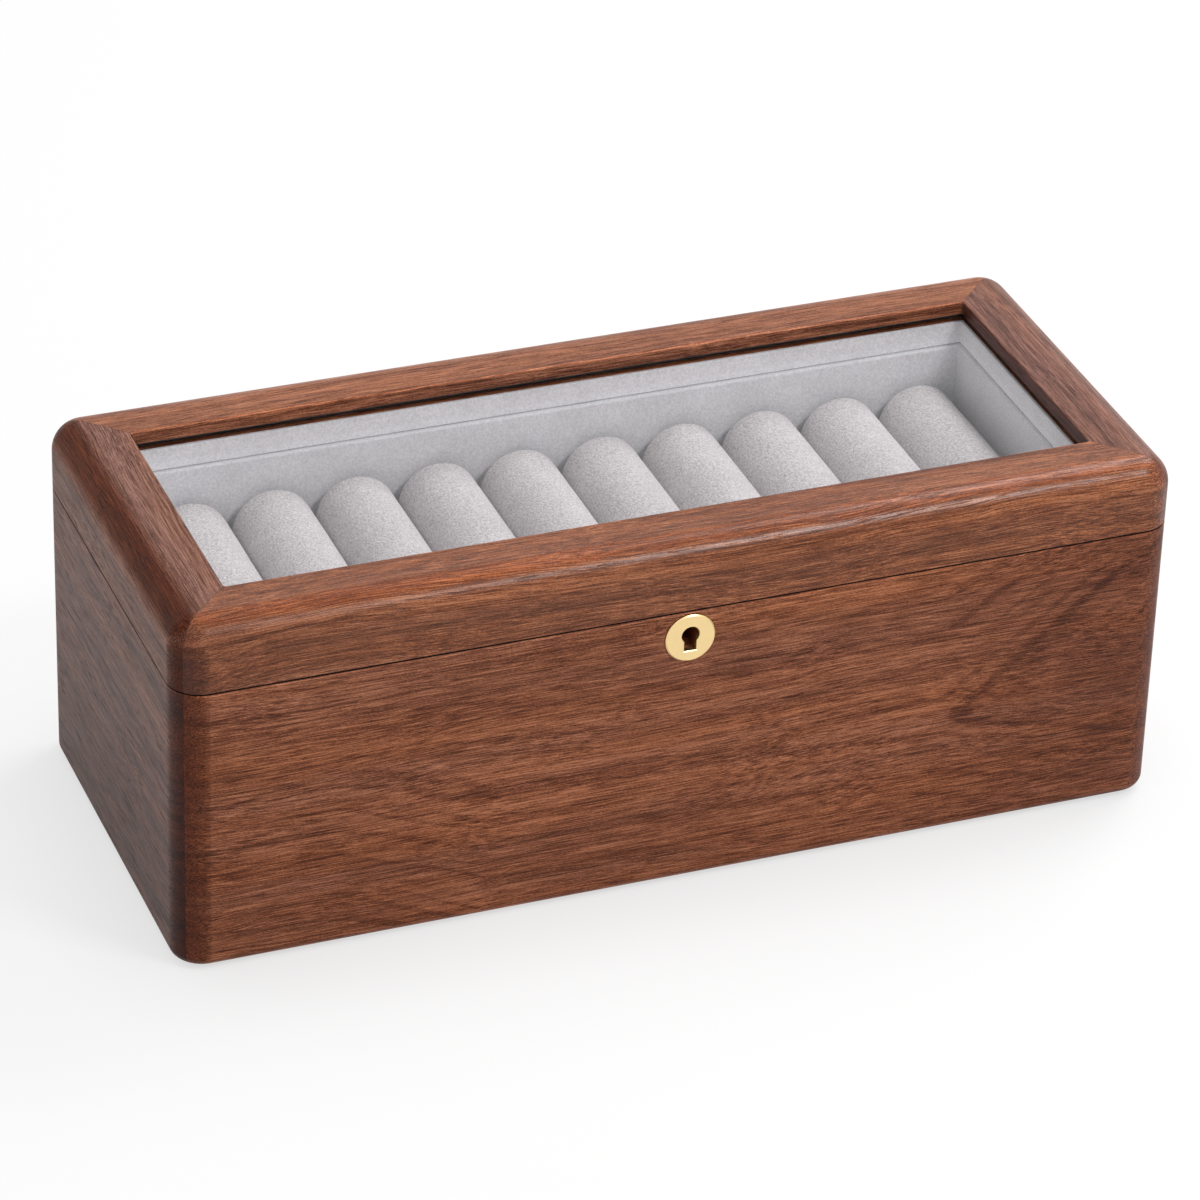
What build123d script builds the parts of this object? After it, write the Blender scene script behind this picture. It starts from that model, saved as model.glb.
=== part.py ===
from build123d import *
import os
from math import atan, degrees, radians, sin, tan

# A walnut bangle box with a hinged glass lid, suede linings, ten suede pads and a box lock.
# Millimetres. X runs along the front, Y from front to back, Z up. The origin is the middle of
# the underside. "Inset" is a distance inwards from the outer face of the box.

# Outline of the closed box
length = 360.0
depth = 154.5
height = 134.5
parting = 109.0
parting_gap = 0.3
corner_radius = 11.5
top_radius = 11.0
bottom_radius = 4.0
arris_radius = 0.5

# Body boards and base
wall = 20.0
felt_thickness = 1.0
felt_inset = 5.0
base_inset = 10.0
base_thickness = 6.0

# Lid section
skirt = 19.0
rail_width = 24.0
opening_corner = 1.2
opening_arris = 0.9
lip_thickness = 4.8
seal_thickness = 0.4
glass_thickness = 2.0
glass_play = 0.5
lower_seal_width = 1.2
bead_thickness = 1.4
bead_width = 4.2
lid_liner_inset = 24.4
lid_liner_lip = 1.0
lid_liner_bottom = 118.1
lid_liner_top = 126.7
lid_liner_edge = 0.35

# Body lining, pad board and pads
liner_thickness = 6.0
liner_top = 117.8
liner_edge = 0.8
board_thickness = 4.0
board_play = 0.5
pad_count = 10
pad_pitch = 30.5
pad_width = 30.2
pad_length = 97.0
pad_top = 107.0
pad_edge = 1.2

# Stop hinges, let into the back of body and lid
hinge_back = 3.2
hinge_places = {"left": -105.0, "right": 105.0}
hinge_length = 40.0
leaf_reach = 14.0
leaf_thickness = 3.2
barrel_radius = 2.6
barrel_play = 0.2
knuckle_count = 5
knuckle_play = 0.1
pin_radius = 1.1
pin_play = 0.04
stop_angle = 47.6
relief_angle = 50.0
leaf_screw_spacing = 13.0
leaf_screw_from_axis = 9.0

# Wood screws: head radius, shank radius and length
screw_head = 2.3
screw_shank = 1.1
screw_length = 12.0
screw_tip_share = 0.2
drive_slot_width = 0.6
drive_slot_depth = 0.6

# Escutcheon and keyhole
escutcheon_radius = 9.0
escutcheon_play = 0.15
escutcheon_below_parting = 10.1
escutcheon_thickness = 2.0
escutcheon_proud = 0.8
escutcheon_bevel = 0.45
keyhole_radius = 3.2
keyhole_slot = 4.4
keyhole_rise = 1.1
keyhole_drop = 4.9
keyhole_bevel = 0.25

# Box lock
case_width = 50.0
case_height = 25.0
case_depth = 8.0
case_sheet = 1.2
flange_width = 66.0
flange_depth = 9.8
flange_thickness = 1.6
flange_screw_x = 29.0
cap_screw_x = 21.0
cap_screw_rise = 4.2
boss_radius = 2.6
cap_screw_radius = 1.0
cap_screw_head = 1.7
cap_screw_length = 6.4
ledge_height = 2.0
left_ledge_end = -12.5
right_ledge_start = 8.5
bolt_left = -22.5
bolt_right = 17.5
bolt_height = 8.4
bolt_thickness = 2.6
bolt_play = 0.35
bolt_rest_play = 0.15
arch_left = -11.0
arch_right = 5.5
arch_height = 4.5
talon_x = -2.5
talon_width = 2.8
talon_rise = 2.3
lug_x = 14.0
lug_thickness = 1.8
lug_width = 4.6
lug_drop = 6.8
lug_play = 0.45
eye_width = 3.4
eye_height = 3.2
eye_floor = 1.0
finger_height = 2.4
finger_length = 5.1
pocket_width = 7.8
pocket_play = 0.4
pocket_floor_play = 0.25
key_tip_radius = 1.5
spring_thickness = 0.4
spring_foot = 3.0
spring_inset = 1.0
spring_arm = 5.5
spring_width = 2.4
spring_play = 0.05
stud_radius = 0.7
stud_height = 0.7
lug_chamfer = 0.5

# Worked out from the sizes above
body_top = parting - parting_gap / 2
lid_bottom = parting + parting_gap / 2
base_top = felt_thickness + base_thickness
liner_inset = wall + liner_thickness
ledge = height - lip_thickness
glass_top = ledge - seal_thickness
glass_bottom = glass_top - glass_thickness
bead_top = glass_bottom - seal_thickness
bead_bottom = bead_top - bead_thickness
board_top = base_top + board_thickness
hinge_y = depth / 2 - hinge_back
knuckle_length = hinge_length / knuckle_count
leaf_screw_y = hinge_y - leaf_screw_from_axis
front_y = -depth / 2
lock_back = front_y + wall
lock_front = lock_back - case_depth
lock_mid = (lock_front + lock_back) / 2
flange_bottom = body_top - flange_thickness
case_bottom = flange_bottom - case_height
flange_front = lock_back - flange_depth
flange_mid = lock_back - flange_depth / 2
escutcheon_z = parting - escutcheon_below_parting
key_z = escutcheon_z + keyhole_rise
bolt_top = flange_bottom - bolt_play
bolt_bottom = bolt_top - bolt_height
lug_bottom = body_top - lug_drop
eye_bottom = lug_bottom + eye_floor
eye_middle = eye_bottom + eye_height / 2

LOW = (Align.CENTER, Align.CENTER, Align.MIN)
HIGH = (Align.CENTER, Align.CENTER, Align.MAX)
BACKWARD = (Align.CENTER, Align.MIN, Align.MIN)
SIDES = ("front", "back", "left", "right")

os.makedirs("parts", exist_ok=True)


def save(piece, name):
    """Label a finished piece and write it to its own file."""
    piece.part.label = name
    export_step(piece.part, f"parts/{name}.step")


def mitre_plan(side):
    """Plan of the quarter of the box that lies between two mitre lines."""
    outside = 5.0
    inside = 60.0
    far_x = length / 2 + outside
    far_y = depth / 2 + outside
    near_x = length / 2 - inside
    near_y = depth / 2 - inside
    corners = {
        "front": [(-far_x, -far_y), (far_x, -far_y), (near_x, -near_y), (-near_x, -near_y)],
        "back": [(far_x, far_y), (-far_x, far_y), (-near_x, near_y), (near_x, near_y)],
        "left": [(-far_x, far_y), (-far_x, -far_y), (-near_x, -near_y), (-near_x, near_y)],
        "right": [(far_x, -far_y), (far_x, far_y), (near_x, near_y), (near_x, -near_y)],
    }
    with BuildSketch(Plane.XY) as plan:
        with BuildLine():
            Polyline(*corners[side], close=True)
        make_face()
    return plan.sketch


def quarter(ring, side):
    """One side of a closed ring, cut at 45 degrees at both ends."""
    plan = mitre_plan(side)
    with BuildPart() as piece:
        add(ring.part)
        extrude(plan, amount=height + 1, mode=Mode.INTERSECT)
    return piece


def save_mitred(ring, stem):
    """Cut a ring into its four mitred pieces and save them."""
    for side in SIDES:
        save(quarter(ring, side), f"{stem}_{side}")


def band(outer_inset, inner_inset, bottom, top):
    """A plain rectangular ring between two insets and two heights."""
    with BuildPart() as ring:
        with BuildSketch(Plane.XY.offset(bottom)):
            Rectangle(length - 2 * outer_inset, depth - 2 * outer_inset)
            Rectangle(length - 2 * inner_inset, depth - 2 * inner_inset, mode=Mode.SUBTRACT)
        extrude(amount=top - bottom)
    return ring


def back_relief(side):
    """Section of the bevel behind the hinge axis, below it for side -1 and above it for +1."""
    back_y = hinge_y + 2 * hinge_back
    back_z = parting + side * 2 * hinge_back * tan(radians(relief_angle))
    with BuildSketch(Plane.YZ.offset(-length / 2 - 1)) as section:
        with BuildLine():
            Polyline((hinge_y, parting), (back_y, back_z), (back_y, parting), close=True)
        make_face()
    return section.sketch


def keyhole_plan(radius, slot, plane):
    """Round head with a straight slot below it, centred on the escutcheon."""
    with BuildSketch(plane) as plan:
        with Locations((0, keyhole_rise)):
            Circle(radius)
        with Locations((0, keyhole_rise)):
            Rectangle(slot, keyhole_rise + keyhole_drop, align=(Align.CENTER, Align.MAX))
    return plan.sketch


def keyhole_plane(y):
    """Plane parallel to the front face, facing the front, with its origin on the escutcheon's axis."""
    return Plane(origin=(0, y, escutcheon_z), x_dir=(1, 0, 0), z_dir=(0, -1, 0))


def screw(head, shank, total):
    """Countersunk screw with its head's face at the origin and its point down."""
    with BuildPart() as body:
        with BuildSketch(Plane.XZ):
            with BuildLine():
                Polyline(
                    (0, 0),
                    (head, 0),
                    (shank, shank - head),
                    (shank, screw_tip_share * total - total),
                    (0, -total),
                    close=True,
                )
            make_face()
        revolve(axis=Axis.Z)
        Box(3 * head, drive_slot_width, 2 * drive_slot_depth, mode=Mode.SUBTRACT)
    return body.part


def save_screws(name, shape, places):
    """Save equal screws as one group."""
    with BuildPart() as group:
        with Locations(*places):
            add(shape)
    save(group, name)


def leaf_screw_places(side):
    """Where the screws of both hinges enter the body (-1) or the lid (+1)."""
    level = body_top if side < 0 else lid_bottom
    turn = 0 if side < 0 else 180
    offsets = (-leaf_screw_spacing, 0, leaf_screw_spacing)
    middles = hinge_places.values()
    return [Location((x + dx, leaf_screw_y, level), (turn, 0, 0)) for x in middles for dx in offsets]


def flange_screw_places(side):
    """Where the lock's or the link plate's screws enter the wood."""
    level = body_top if side < 0 else lid_bottom
    turn = 0 if side < 0 else 180
    return [Location((x, flange_mid, level), (turn, 0, 0)) for x in (-flange_screw_x, flange_screw_x)]


# Wooden parts are first shaped as closed rings, then cut along the mitre lines.

with BuildPart() as body_ring:
    with BuildSketch(Plane.XY.offset(felt_thickness)):
        RectangleRounded(length, depth, corner_radius)
    extrude(amount=body_top - felt_thickness)
    fillet(body_ring.faces().sort_by(Axis.Z)[0].edges(), bottom_radius)
    fillet(body_ring.faces().sort_by(Axis.Z)[-1].edges(), arris_radius)
    with BuildSketch(Plane.XY.offset(felt_thickness)):
        Rectangle(length - 2 * wall, depth - 2 * wall)
    extrude(amount=body_top, mode=Mode.SUBTRACT)
    with BuildSketch(Plane.XY.offset(felt_thickness)):
        Rectangle(length - 2 * base_inset, depth - 2 * base_inset)
    extrude(amount=base_thickness, mode=Mode.SUBTRACT)
    extrude(back_relief(-1), amount=length + 2, mode=Mode.SUBTRACT)

with BuildPart() as lid_ring:
    with BuildSketch(Plane.XY.offset(lid_bottom)):
        RectangleRounded(length, depth, corner_radius)
    extrude(amount=height - lid_bottom)
    fillet(lid_ring.faces().sort_by(Axis.Z)[-1].edges(), top_radius)
    fillet(lid_ring.faces().sort_by(Axis.Z)[0].edges(), arris_radius)
    with BuildSketch(Plane.XY.offset(height)):
        RectangleRounded(length - 2 * rail_width, depth - 2 * rail_width, opening_corner)
    extrude(amount=-height, mode=Mode.SUBTRACT)
    fillet(lid_ring.faces().sort_by(Axis.Z)[-1].inner_wires()[0].edges(), opening_arris)
    with BuildSketch(Plane.XY.offset(ledge)):
        Rectangle(length - 2 * skirt, depth - 2 * skirt)
    extrude(amount=-height, mode=Mode.SUBTRACT)
    extrude(back_relief(1), amount=length + 2, mode=Mode.SUBTRACT)

# Side boards and side rails are plain mitred lengths.

boards = {side: quarter(body_ring, side) for side in SIDES}
rails = {side: quarter(lid_ring, side) for side in SIDES}
for side in ("left", "right"):
    save(boards[side], f"{side}_wall")
    save(rails[side], f"lid_{side}_rail")

# Back board and back rail carry the hinge mortises.

mortise_depth = leaf_thickness + parting_gap / 2
mortise_run = leaf_reach + hinge_back
mortise_y = hinge_y - leaf_reach + mortise_run / 2

with BuildPart() as back_wall:
    add(boards["back"].part)
    with Locations(*[(x, mortise_y, parting - mortise_depth) for x in hinge_places.values()]):
        Box(hinge_length, mortise_run, height, align=LOW, mode=Mode.SUBTRACT)
    with Locations(*leaf_screw_places(-1)):
        Cylinder(screw_shank, screw_length, align=HIGH, mode=Mode.SUBTRACT)
save(back_wall, "back_wall")

with BuildPart() as lid_back_rail:
    add(rails["back"].part)
    with Locations(*[(x, mortise_y, parting + mortise_depth) for x in hinge_places.values()]):
        Box(hinge_length, mortise_run, height, align=HIGH, mode=Mode.SUBTRACT)
    with Locations(*leaf_screw_places(1)):
        Cylinder(screw_shank, screw_length, align=HIGH, mode=Mode.SUBTRACT)
save(lid_back_rail, "lid_back_rail")

# Front board: keyhole, seat of the escutcheon, and the mortise of the lock.

wall_keyhole = keyhole_plan(keyhole_radius, keyhole_slot, keyhole_plane(lock_back))

with BuildPart() as front_wall:
    add(boards["front"].part)
    extrude(wall_keyhole, amount=wall, mode=Mode.SUBTRACT)
    with BuildSketch(keyhole_plane(front_y + escutcheon_thickness - escutcheon_proud)):
        Circle(escutcheon_radius + escutcheon_play)
    extrude(amount=wall, mode=Mode.SUBTRACT)
    with Locations((0, lock_mid, case_bottom)):
        Box(case_width, case_depth, height, align=LOW, mode=Mode.SUBTRACT)
    with Locations((0, flange_mid, flange_bottom)):
        Box(flange_width, flange_depth, height, align=LOW, mode=Mode.SUBTRACT)
    with Locations(*flange_screw_places(-1)):
        Cylinder(screw_shank, screw_length, align=HIGH, mode=Mode.SUBTRACT)
save(front_wall, "front_wall")

# Front rail: seat of the link plate.

link_back = front_y + skirt
link_mid = (flange_front + link_back) / 2
link_depth = link_back - flange_front

with BuildPart() as lid_front_rail:
    add(rails["front"].part)
    with Locations((0, link_mid, lid_bottom + flange_thickness)):
        Box(flange_width, link_depth, height, align=HIGH, mode=Mode.SUBTRACT)
    with Locations(*flange_screw_places(1)):
        Cylinder(screw_shank, screw_length, align=HIGH, mode=Mode.SUBTRACT)
save(lid_front_rail, "lid_front_rail")

# Base panel in its rebate, and the felt below it.

with BuildPart() as base_panel:
    with BuildSketch(Plane.XY.offset(felt_thickness)):
        Rectangle(length - 2 * base_inset, depth - 2 * base_inset)
    extrude(amount=base_thickness)
save(base_panel, "base_panel")

with BuildPart() as base_felt:
    with BuildSketch():
        RectangleRounded(length - 2 * felt_inset, depth - 2 * felt_inset, corner_radius - felt_inset)
    extrude(amount=felt_thickness)
save(base_felt, "base_felt")

# Glass between its two seals, and the wooden bead that holds it up. The upper seal shows as a thin
# line round the opening. The lower one is narrow and hidden by the rails.

with BuildPart() as glass:
    with BuildSketch(Plane.XY.offset(glass_bottom)):
        Rectangle(length - 2 * (skirt + glass_play), depth - 2 * (skirt + glass_play))
    extrude(amount=glass_thickness)
save(glass, "glass")

save(band(skirt + glass_play, rail_width, glass_top, ledge), "glass_seal_upper")
lower_seal_inset = skirt + glass_play + lower_seal_width
save(band(skirt + glass_play, lower_seal_inset, bead_top, glass_bottom), "glass_seal_lower")
save_mitred(band(skirt, skirt + bead_width, bead_bottom, bead_top), "glazing_bead")

# Lid lining: covered strips with soft edges, under the bead and with a lip that hides its edge.

lid_liner_blank = band(skirt, lid_liner_inset, lid_liner_bottom, bead_bottom)
lid_liner_face = band(lid_liner_inset - lid_liner_lip, lid_liner_inset, lid_liner_bottom, lid_liner_top)

with BuildPart() as lid_liner_ring:
    add(lid_liner_blank.part)
    add(lid_liner_face.part)
    lower_face = lid_liner_ring.faces().sort_by(Axis.Z)[0]
    upper_face = lid_liner_ring.faces().sort_by(Axis.Z)[-1]
    fillet(lower_face.inner_wires()[0].edges() + upper_face.inner_wires()[0].edges(), lid_liner_edge)
save_mitred(lid_liner_ring, "lid_liner")

# Body lining: covered panels that stand above the rim and locate the lid.

body_liner_blank = band(wall, liner_inset, base_top, liner_top)

with BuildPart() as body_liner_ring:
    add(body_liner_blank.part)
    fillet(body_liner_ring.faces().sort_by(Axis.Z)[-1].edges(), liner_edge)
save_mitred(body_liner_ring, "body_liner")

# Pad board and the pads that stand on it.

with BuildPart() as pad_board:
    with BuildSketch(Plane.XY.offset(base_top)):
        Rectangle(length - 2 * (liner_inset + board_play), depth - 2 * (liner_inset + board_play))
    extrude(amount=board_thickness)
save(pad_board, "pad_board")


def make_pad(middle):
    """Upright pad with a half-round top and bevelled ends."""
    left = middle - pad_width / 2
    right = middle + pad_width / 2
    spring_line = pad_top - pad_width / 2
    with BuildPart() as pad:
        with BuildSketch(Plane.XZ.offset(-pad_length / 2)):
            with BuildLine():
                Polyline((left, spring_line), (left, board_top), (right, board_top), (right, spring_line))
                ThreePointArc((right, spring_line), (middle, pad_top), (left, spring_line))
            make_face()
        extrude(amount=pad_length)
        end_edges = pad.faces().filter_by(Axis.Y).edges()
        chamfer(end_edges.filter_by_position(Axis.Z, board_top + 1, pad_top + 1), pad_edge)
    return pad


for index in range(pad_count):
    save(make_pad((index - (pad_count - 1) / 2) * pad_pitch), f"pad_{index + 1:02d}")

# Escutcheon: a bevelled disc, let in and slightly proud, with a keyhole through it.

with BuildPart() as escutcheon:
    with BuildSketch(keyhole_plane(front_y + escutcheon_thickness - escutcheon_proud)):
        Circle(escutcheon_radius)
    extrude(amount=escutcheon_thickness)
    chamfer(escutcheon.faces().sort_by(Axis.Y)[0].edges(), escutcheon_bevel)
    extrude(wall_keyhole, amount=depth, mode=Mode.SUBTRACT)
    chamfer(escutcheon.faces().sort_by(Axis.Y)[0].inner_wires()[0].edges(), keyhole_bevel)
save(escutcheon, "escutcheon")

# Lock case: a box open to the inside, with a flange at the rim, two ledges that the bolt slides
# on and two bosses for the cap's screws.

inner_front = lock_front + case_sheet
inner_back = lock_back - case_sheet
cavity_width = case_width - 2 * case_sheet
cavity_height = case_height - case_sheet
cavity_bottom = case_bottom + case_sheet
ledge_top = bolt_bottom - bolt_rest_play
left_ledge = (bolt_left, left_ledge_end)
right_ledge = (right_ledge_start, cavity_width / 2)
cap_screw_z = case_bottom + cap_screw_rise
cap_screw_places = [Location((x, lock_back, cap_screw_z), (-90, 0, 0)) for x in (-cap_screw_x, cap_screw_x)]
case_keyhole = keyhole_plan(keyhole_radius, keyhole_slot, keyhole_plane(inner_front))

with BuildPart() as lock_case:
    with Locations((0, lock_mid, case_bottom)):
        Box(case_width, case_depth, case_height, align=LOW)
    with Locations((0, flange_mid, flange_bottom)):
        Box(flange_width, flange_depth, flange_thickness, align=LOW)
    with Locations((0, inner_front, cavity_bottom)):
        Box(cavity_width, case_depth, cavity_height, align=BACKWARD, mode=Mode.SUBTRACT)
    with BuildSketch(Plane.XZ.offset(-inner_front)):
        for start, end in (left_ledge, right_ledge):
            with Locations(((start + end) / 2, ledge_top)):
                Rectangle(end - start, ledge_height, align=(Align.CENTER, Align.MAX))
        with Locations(*[(x, cap_screw_z) for x in (-cap_screw_x, cap_screw_x)]):
            Circle(boss_radius)
    extrude(amount=inner_front - inner_back)
    with Locations(*[(x, lock_mid, flange_bottom) for x in (-lug_x, lug_x)]):
        Box(lug_thickness + 2 * lug_play, lug_width + 2 * lug_play, height, align=LOW, mode=Mode.SUBTRACT)
    with Locations(*flange_screw_places(-1)):
        CounterSinkHole(screw_shank, screw_head, counter_sink_angle=90)
    with Locations(*cap_screw_places):
        Cylinder(cap_screw_radius, cap_screw_length, align=HIGH, mode=Mode.SUBTRACT)
    extrude(case_keyhole, amount=wall, mode=Mode.SUBTRACT)
save(lock_case, "lock_case")

# Cap: closes the case on the inside and steadies the tip of the key.

with BuildPart() as lock_cap:
    with Locations((0, inner_back, cavity_bottom)):
        Box(cavity_width, case_sheet, cavity_height, align=BACKWARD)
    with Locations(*cap_screw_places):
        CounterSinkHole(cap_screw_radius, cap_screw_head, counter_sink_angle=90)
    with Locations(Location((0, lock_back, key_z), (-90, 0, 0))):
        Hole(key_tip_radius)
save(lock_cap, "lock_cap")

# Bolt: an arched plate that clears the turning key, with a talon for the key's bit, and in each
# pocket a finger that slides through the eye of a lug.

bolt_face = lock_mid + bolt_thickness / 2
pocket_floor = lug_bottom - pocket_floor_play
stud_x = bolt_left + spring_foot / 2 + spring_inset
stud_z = (bolt_bottom + pocket_floor) / 2

with BuildPart() as lock_bolt:
    with BuildSketch(Plane.XZ.offset(-bolt_face)):
        with Locations((bolt_left, bolt_bottom)):
            Rectangle(bolt_right - bolt_left, bolt_height, align=(Align.MIN, Align.MIN))
        with Locations((arch_left, bolt_bottom)):
            Rectangle(arch_right - arch_left, arch_height, align=(Align.MIN, Align.MIN), mode=Mode.SUBTRACT)
        with Locations((talon_x - talon_width / 2, bolt_bottom)):
            Rectangle(talon_width, arch_height + talon_rise, align=(Align.MIN, Align.MIN), mode=Mode.SUBTRACT)
        for lug in (-lug_x, lug_x):
            pocket_end = lug + lug_thickness / 2 + pocket_play
            with Locations((pocket_end, pocket_floor)):
                Rectangle(pocket_width, bolt_height, align=(Align.MAX, Align.MIN), mode=Mode.SUBTRACT)
            with Locations((pocket_end - pocket_width, eye_middle)):
                Rectangle(finger_length, finger_height, align=(Align.MIN, Align.CENTER))
    extrude(amount=bolt_thickness)
    with Locations(Location((stud_x, bolt_face, stud_z), (-90, 0, 0))):
        Cylinder(stud_radius, stud_height, align=LOW)
save(lock_bolt, "lock_bolt")

# Friction spring: a foot held by the bolt's stud, and an arm that rises to rub on the cap.

spring_rise = inner_back - bolt_face - spring_thickness - spring_play
spring_bend = 2 * atan(spring_rise / spring_arm)
spring_radius = spring_arm / (2 * sin(spring_bend))
spring_start = (stud_x - spring_foot / 2, bolt_face + spring_thickness / 2)

with BuildPart() as bolt_spring:
    with BuildSketch(Plane.XY.offset(stud_z - spring_width / 2)):
        with BuildLine():
            foot = Line(spring_start, (spring_start[0] + spring_foot, spring_start[1]))
            rise = JernArc(foot @ 1, foot % 1, spring_radius, degrees(spring_bend))
            JernArc(rise @ 1, rise % 1, spring_radius, -degrees(spring_bend))
        trace(line_width=spring_thickness)
    extrude(amount=spring_width)
    with Locations(Location((stud_x, bolt_face, stud_z), (-90, 0, 0))):
        Cylinder(stud_radius, stud_height, align=LOW, mode=Mode.SUBTRACT)
save(bolt_spring, "bolt_spring")

# Link plate: let into the lid, with two eyed lugs that drop through the flange.

with BuildPart() as link_plate:
    with Locations((0, link_mid, lid_bottom)):
        Box(flange_width, link_depth, flange_thickness, align=LOW)
    with Locations(*[(x, lock_mid, lid_bottom) for x in (-lug_x, lug_x)]):
        Box(lug_thickness, lug_width, lid_bottom - lug_bottom, align=HIGH)
    chamfer(link_plate.faces().group_by(Axis.Z)[0].edges(), lug_chamfer)
    with Locations((0, lock_mid, eye_middle)):
        Box(length / 2, eye_width, eye_height, mode=Mode.SUBTRACT)
    with Locations(*flange_screw_places(1)):
        CounterSinkHole(screw_shank, screw_head, counter_sink_angle=90)
save(link_plate, "link_plate")

# Stop hinges: each leaf has its own knuckles, is cleared for the other's, and ends behind the
# barrel in a bevel that meets the other leaf's bevel when the lid stands open.


def along_axis(places):
    """Locations on the hinge axis, turned to lie along X."""
    return [Location((x, hinge_y, parting), (0, 90, 0)) for x in places]


def make_leaf(middle, side):
    """Leaf of the body for side -1 or of the lid for side +1."""
    ends = [middle + (index - (knuckle_count - 1) / 2) * knuckle_length for index in range(knuckle_count)]
    body_knuckles = ends[0::2]
    lid_knuckles = ends[1::2]
    own = body_knuckles if side < 0 else lid_knuckles
    other = lid_knuckles if side < 0 else body_knuckles
    near = side * parting_gap / 2
    far = near + side * leaf_thickness
    slope = tan(radians(stop_angle))
    outline = [(-leaf_reach, near), (abs(near) / slope, near), (abs(far) / slope, far), (-leaf_reach, far)]
    bore = pin_radius if side < 0 else pin_radius + pin_play
    places = [place for place in leaf_screw_places(side) if abs(place.position.X - middle) < hinge_length / 2]
    with BuildPart() as leaf:
        with BuildSketch(Plane.YZ.offset(middle - hinge_length / 2)):
            with BuildLine():
                Polyline(*[(hinge_y + y, parting + z) for y, z in outline], close=True)
            make_face()
        extrude(amount=hinge_length)
        with Locations(*along_axis(other)):
            Cylinder(barrel_radius + barrel_play, knuckle_length, mode=Mode.SUBTRACT)
        with Locations(*along_axis(own)):
            Cylinder(barrel_radius, knuckle_length - 2 * knuckle_play)
        with Locations(*along_axis([middle])):
            Cylinder(bore, 2 * hinge_length, mode=Mode.SUBTRACT)
        with Locations(*places):
            CounterSinkHole(screw_shank, screw_head, counter_sink_angle=90)
    return leaf


for place, middle in hinge_places.items():
    save(make_leaf(middle, -1), f"hinge_body_leaf_{place}")
    save(make_leaf(middle, 1), f"hinge_lid_leaf_{place}")
    with BuildPart() as hinge_pin:
        with Locations(*along_axis([middle])):
            Cylinder(pin_radius, hinge_length)
    save(hinge_pin, f"hinge_pin_{place}")

# Screws, each set as one group.

wood_screw = screw(screw_head, screw_shank, screw_length)
cap_screw = screw(cap_screw_head, cap_screw_radius, cap_screw_length)
save_screws("hinge_body_screws", wood_screw, leaf_screw_places(-1))
save_screws("hinge_lid_screws", wood_screw, leaf_screw_places(1))
save_screws("lock_screws", wood_screw, flange_screw_places(-1))
save_screws("link_plate_screws", wood_screw, flange_screw_places(1))
save_screws("lock_cap_screws", cap_screw, cap_screw_places)
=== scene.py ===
from math import cos, pi, radians, sin

import bmesh
import bpy
from mathutils import Matrix, Vector, noise


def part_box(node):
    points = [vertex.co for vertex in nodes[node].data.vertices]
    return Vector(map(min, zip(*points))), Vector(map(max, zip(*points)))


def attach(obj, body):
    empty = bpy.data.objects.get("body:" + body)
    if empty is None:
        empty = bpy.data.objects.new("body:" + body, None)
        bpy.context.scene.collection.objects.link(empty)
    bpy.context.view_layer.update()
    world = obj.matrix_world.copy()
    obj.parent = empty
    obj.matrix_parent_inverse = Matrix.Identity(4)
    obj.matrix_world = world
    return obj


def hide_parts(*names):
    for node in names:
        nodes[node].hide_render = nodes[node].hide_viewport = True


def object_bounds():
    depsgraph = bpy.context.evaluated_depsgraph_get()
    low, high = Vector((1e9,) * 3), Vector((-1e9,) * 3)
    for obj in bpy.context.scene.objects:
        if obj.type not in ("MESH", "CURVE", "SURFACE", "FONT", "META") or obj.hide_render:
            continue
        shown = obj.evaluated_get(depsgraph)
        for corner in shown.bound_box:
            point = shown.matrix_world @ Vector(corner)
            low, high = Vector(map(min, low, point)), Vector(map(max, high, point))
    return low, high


# A walnut bangle box: solid wood body and lid, a glass pane, suede linings and ten suede pads.
# Metres throughout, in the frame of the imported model: X along the front, Y to the back, Z up.

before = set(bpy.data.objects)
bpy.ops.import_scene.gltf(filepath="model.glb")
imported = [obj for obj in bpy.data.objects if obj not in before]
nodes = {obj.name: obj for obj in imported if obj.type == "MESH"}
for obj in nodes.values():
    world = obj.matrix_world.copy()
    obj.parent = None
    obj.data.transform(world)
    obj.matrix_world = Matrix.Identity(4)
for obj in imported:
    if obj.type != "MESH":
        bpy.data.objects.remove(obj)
cad_low, cad_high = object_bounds()
MM = 0.001

# The camera stands where the photograph was taken from. Pixels are those of a 1200 x 1200 frame.
CAMERA_AZIMUTH = -21.79
CAMERA_ELEVATION = 31.16
CAMERA_ROLL = 1.92
CAMERA_DISTANCE = 1.995
CAMERA_RISE = 0.0590
FOCAL_PIXELS = 5605.2
FRAME_PIXELS = 1200
SENSOR_MM = 36.0

FLOOR_SIZE = 12.0
FLOOR_GAP = 0.1 * MM
FLOOR_COLOUR = (0.84, 0.84, 0.845)
FLOOR_SEEN_SHARE = 0.28
FLOOR_LIFT = 0.785
# Reach and depth of the painted contact shadow that dims the floor's glow near the box
CONTACT_REACH = 45 * MM
CONTACT_DEPTH = 0.20
SKY_STRENGTH = 0.40
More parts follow.
